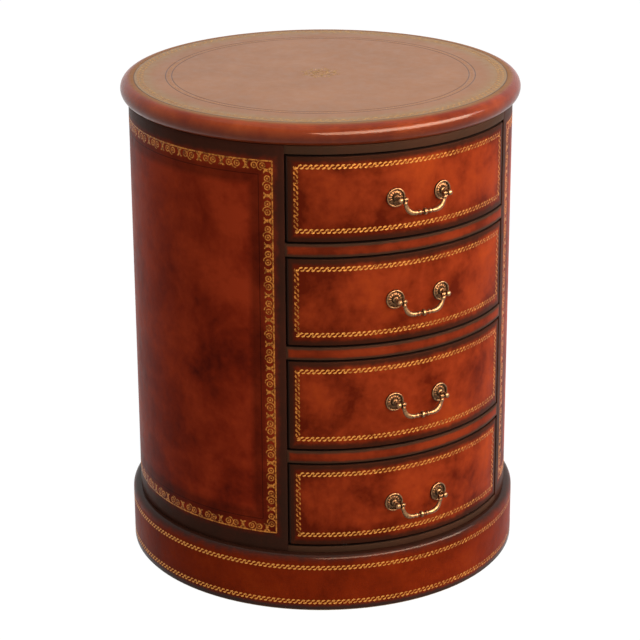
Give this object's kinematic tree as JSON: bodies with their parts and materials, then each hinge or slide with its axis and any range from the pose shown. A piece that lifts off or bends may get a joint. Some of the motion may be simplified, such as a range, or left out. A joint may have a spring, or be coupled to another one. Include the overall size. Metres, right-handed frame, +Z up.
{
  "type": "drum table",
  "caption": "Round leather-covered drum table with a bowed bank of drawers, each with a swinging brass bail handle, on a low plinth.",
  "frame": {"origin": "centre of the plinth's underside, on the drum's axis", "axes": "+Z up along the drum's axis, the drawers open towards -Y, and +X is on the right of someone who faces the drawers"},
  "size_m": [0.521, 0.5277, 0.646],
  "materials": {
    "leather_drawers": "waxed, mottled red-brown",
    "leather_sides": "waxed, mottled oxblood",
    "leather_top": "waxed, mottled red-brown",
    "leather_rim": "waxed, dark red-brown",
    "leather_plinth": "waxed, dark red-brown",
    "case_board": "sanded plywood",
    "case_post": "planed hardwood",
    "drawer_board": "sanded and sealed",
    "brass": "cast, antiqued and waxed",
    "steel": "zinc plated"
  },
  "bodies": {
    "case": {"plinth_ring": "case_board", "base_board": "case_board", "case_floor": "case_board", "case_top": "case_board", "left_shell": "case_board", "right_shell": "case_board", "back_shell": "case_board", "guide_boards": "case_board", "dust_boards": "case_board", "top_board": "case_board", "left_stile": "case_post", "right_stile": "case_post", "drawer_rails": "case_post", "drawer_runners": "case_post", "drawer_stops": "case_post", "plinth_leather": "leather_plinth", "left_leather": "leather_sides", "right_leather": "leather_sides", "back_leather": "leather_sides", "rail_leather": "leather_sides", "top_leather": "leather_top", "rim_leather": "leather_rim", "top_screws": "steel", "base_screws": "steel"},
    "drawer_1": {"drawer_1_left_side": "drawer_board", "drawer_1_right_side": "drawer_board", "drawer_1_back": "drawer_board", "drawer_1_bottom": "drawer_board", "drawer_1_front": "drawer_board", "drawer_1_leather": "leather_drawers", "drawer_1_rosettes": "brass", "drawer_1_handle_posts": "brass"},
    "bail_1": {"drawer_1_bail": "brass"},
    "drawer_2": {"drawer_2_left_side": "drawer_board", "drawer_2_right_side": "drawer_board", "drawer_2_back": "drawer_board", "drawer_2_bottom": "drawer_board", "drawer_2_front": "drawer_board", "drawer_2_leather": "leather_drawers", "drawer_2_rosettes": "brass", "drawer_2_handle_posts": "brass"},
    "bail_2": {"drawer_2_bail": "brass"},
    "drawer_3": {"drawer_3_left_side": "drawer_board", "drawer_3_right_side": "drawer_board", "drawer_3_back": "drawer_board", "drawer_3_bottom": "drawer_board", "drawer_3_front": "drawer_board", "drawer_3_leather": "leather_drawers", "drawer_3_rosettes": "brass", "drawer_3_handle_posts": "brass"},
    "bail_3": {"drawer_3_bail": "brass"},
    "drawer_4": {"drawer_4_left_side": "drawer_board", "drawer_4_right_side": "drawer_board", "drawer_4_back": "drawer_board", "drawer_4_bottom": "drawer_board", "drawer_4_front": "drawer_board", "drawer_4_leather": "leather_drawers", "drawer_4_rosettes": "brass", "drawer_4_handle_posts": "brass"},
    "bail_4": {"drawer_4_bail": "brass"}
  },
  "joints": [
    {"name": "drawer_1_slide", "type": "slide", "parent": "case", "child": "drawer_1", "axis": [0, -1, 0], "range_m": [0, 0.24]},
    {"name": "bail_1_hinge", "type": "hinge", "parent": "drawer_1", "child": "bail_1", "pos_m": [0, -0.26268, 0.54884], "axis": [-1, 0, 0], "range_deg": [-20, 95]},
    {"name": "drawer_2_slide", "type": "slide", "parent": "case", "child": "drawer_2", "axis": [0, -1, 0], "range_m": [0, 0.24]},
    {"name": "bail_2_hinge", "type": "hinge", "parent": "drawer_2", "child": "bail_2", "pos_m": [0, -0.26268, 0.41713], "axis": [-1, 0, 0], "range_deg": [-20, 95]},
    {"name": "drawer_3_slide", "type": "slide", "parent": "case", "child": "drawer_3", "axis": [0, -1, 0], "range_m": [0, 0.24]},
    {"name": "bail_3_hinge", "type": "hinge", "parent": "drawer_3", "child": "bail_3", "pos_m": [0, -0.26268, 0.28016], "axis": [-1, 0, 0], "range_deg": [-20, 95]},
    {"name": "drawer_4_slide", "type": "slide", "parent": "case", "child": "drawer_4", "axis": [0, -1, 0], "range_m": [0, 0.24]},
    {"name": "bail_4_hinge", "type": "hinge", "parent": "drawer_4", "child": "bail_4", "pos_m": [0, -0.26268, 0.14149], "axis": [-1, 0, 0], "range_deg": [-20, 95]}
  ]
}
